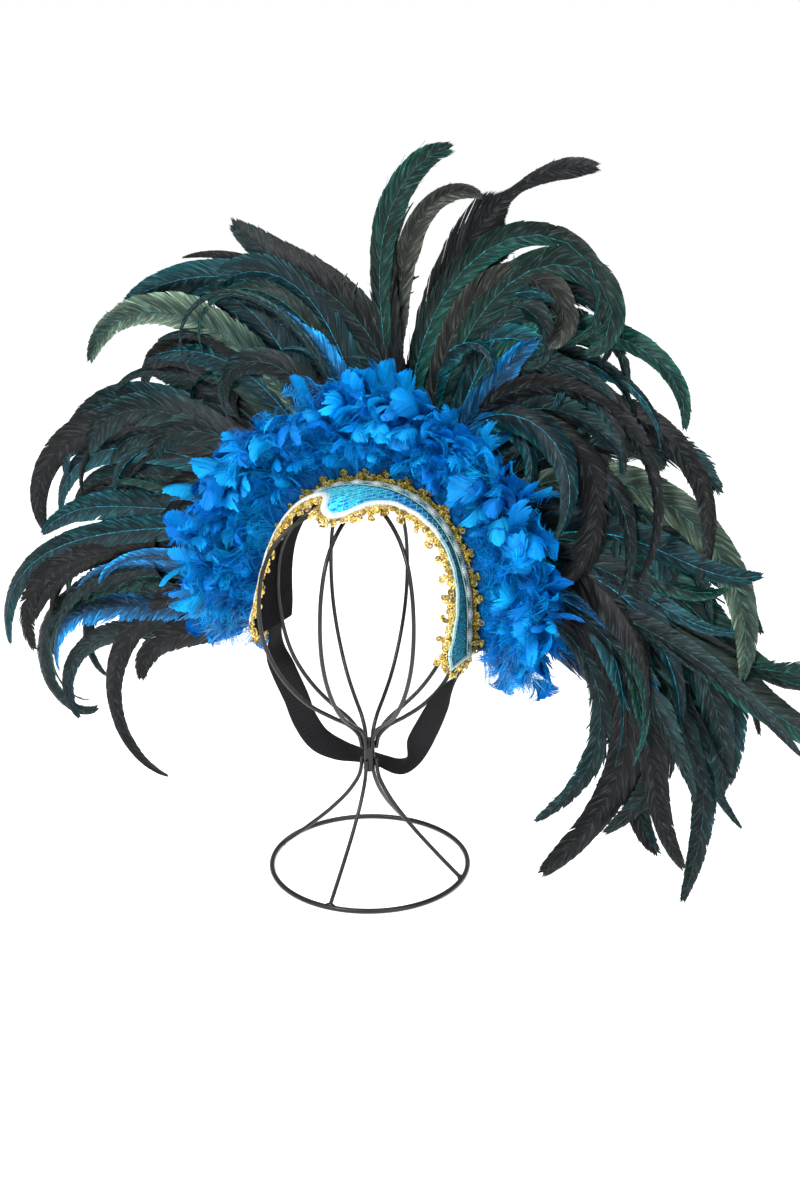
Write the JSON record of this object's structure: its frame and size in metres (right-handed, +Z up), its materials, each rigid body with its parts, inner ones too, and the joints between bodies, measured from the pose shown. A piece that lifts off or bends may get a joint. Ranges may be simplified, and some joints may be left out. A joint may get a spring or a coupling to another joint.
{
  "type": "showgirl feather headdress on a wire stand",
  "caption": "Arched cloth headband with gold lace edges, a blue feather boa, a fan of long dark coque feathers and an elastic chin strap, resting on a plain wire hat stand.",
  "frame": {"origin": "centre of the stand's floor ring, on the surface that it stands on", "axes": "+Z up, the headdress looks along -Y, +X is the viewer's right"},
  "size_m": [0.7572, 0.1681, 0.5572],
  "materials": {
    "black_wire_paint": "satin black",
    "teal_cover_cloth": "foil cloth under net",
    "black_felt": "matt felt",
    "pale_mint_cord": "satin cord",
    "gold_lace": "metallic gold lace",
    "blue_boa_feathers": "soft feather",
    "coque_feathers": "dark iridescent feather",
    "black_elastic": "matt woven elastic"
  },
  "bodies": {
    "root": {"wire_stand": "black_wire_paint", "headband_cover": "teal_cover_cloth", "headband_lining": "black_felt", "pale_braid": "pale_mint_cord", "gold_lace_front": "gold_lace", "gold_lace_rear": "gold_lace", "gold_lace_right_end": "gold_lace", "gold_lace_left_end": "gold_lace", "feather_boa": "blue_boa_feathers", "coque_fan": "coque_feathers", "chin_strap": "black_elastic"}
  },
  "joints": []
}
